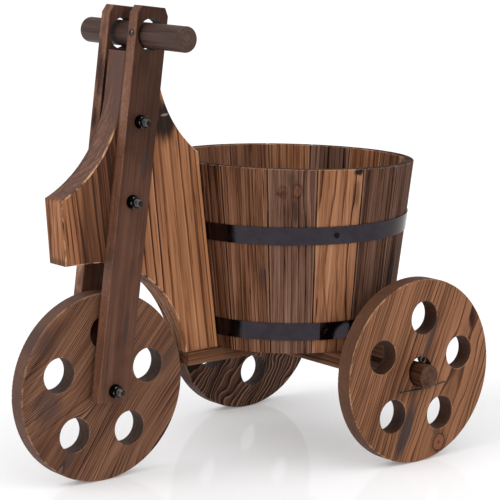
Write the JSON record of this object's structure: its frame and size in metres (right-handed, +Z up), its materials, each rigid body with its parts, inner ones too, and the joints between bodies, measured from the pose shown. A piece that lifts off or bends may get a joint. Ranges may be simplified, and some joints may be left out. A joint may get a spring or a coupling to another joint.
{
  "type": "wheeled planter",
  "caption": "Dark-stained wooden planter: a tapered stave barrel with black hoops on a tricycle-shaped frame with pierced disc wheels and a dowel handlebar.",
  "frame": {"origin": "on the floor, under the middle of the overall length and width, midway between the front and rear axles", "axes": "+X forward towards the front wheel, +Y to the rider's left, +Z up"},
  "size_m": [0.558, 0.382, 0.5423],
  "materials": {
    "panel_wood": "satin",
    "fork_wood": "satin",
    "handlebar_wood": "satin",
    "wheel_wood": "satin",
    "base_wood": "satin",
    "barrel_wood": "satin",
    "hoop_steel": "satin",
    "fastener_steel": "satin"
  },
  "bodies": {
    "frame": {"fork_blade_left": "fork_wood", "fork_blade_right": "fork_wood", "handlebar": "handlebar_wood", "frame_panel": "panel_wood", "rear_axle": "base_wood", "base_plank": "base_wood", "cross_board": "base_wood", "axle_board": "base_wood", "floor_board_front": "barrel_wood", "floor_board_middle": "barrel_wood", "floor_board_rear": "barrel_wood", "stave_01": "barrel_wood", "stave_02": "barrel_wood", "stave_03": "barrel_wood", "stave_04": "barrel_wood", "stave_05": "barrel_wood", "stave_06": "barrel_wood", "stave_07": "barrel_wood", "stave_08": "barrel_wood", "stave_09": "barrel_wood", "stave_10": "barrel_wood", "stave_11": "barrel_wood", "stave_12": "barrel_wood", "stave_13": "barrel_wood", "stave_14": "barrel_wood", "stave_15": "barrel_wood", "stave_16": "barrel_wood", "hoop_upper": "hoop_steel", "hoop_lower": "hoop_steel", "handlebar_screw": "fastener_steel", "fork_bolts": "fastener_steel", "fork_nuts": "fastener_steel", "fork_washers": "fastener_steel", "front_axle_bolt": "fastener_steel", "front_axle_nut": "fastener_steel", "front_axle_washers": "fastener_steel", "front_wheel_washers": "fastener_steel", "cotter_pin_left": "fastener_steel", "cotter_pin_right": "fastener_steel", "panel_screws": "fastener_steel", "floor_screws": "fastener_steel", "axle_screws": "fastener_steel", "stave_screws": "fastener_steel", "hoop_nails": "fastener_steel"},
    "front_wheel": {"front_wheel": "wheel_wood"},
    "rear_wheel_left": {"rear_wheel_left": "wheel_wood"},
    "rear_wheel_right": {"rear_wheel_right": "wheel_wood"}
  },
  "joints": [
    {"name": "front_wheel_spin", "type": "hinge", "parent": "frame", "child": "front_wheel", "pos_m": [0.169, 0, 0.11], "axis": [0, 1, 0], "continuous": true},
    {"name": "rear_wheel_left_spin", "type": "hinge", "parent": "frame", "child": "rear_wheel_left", "pos_m": [-0.169, 0.164, 0.11], "axis": [0, 1, 0], "continuous": true},
    {"name": "rear_wheel_right_spin", "type": "hinge", "parent": "frame", "child": "rear_wheel_right", "pos_m": [-0.169, -0.164, 0.11], "axis": [0, 1, 0], "continuous": true}
  ]
}
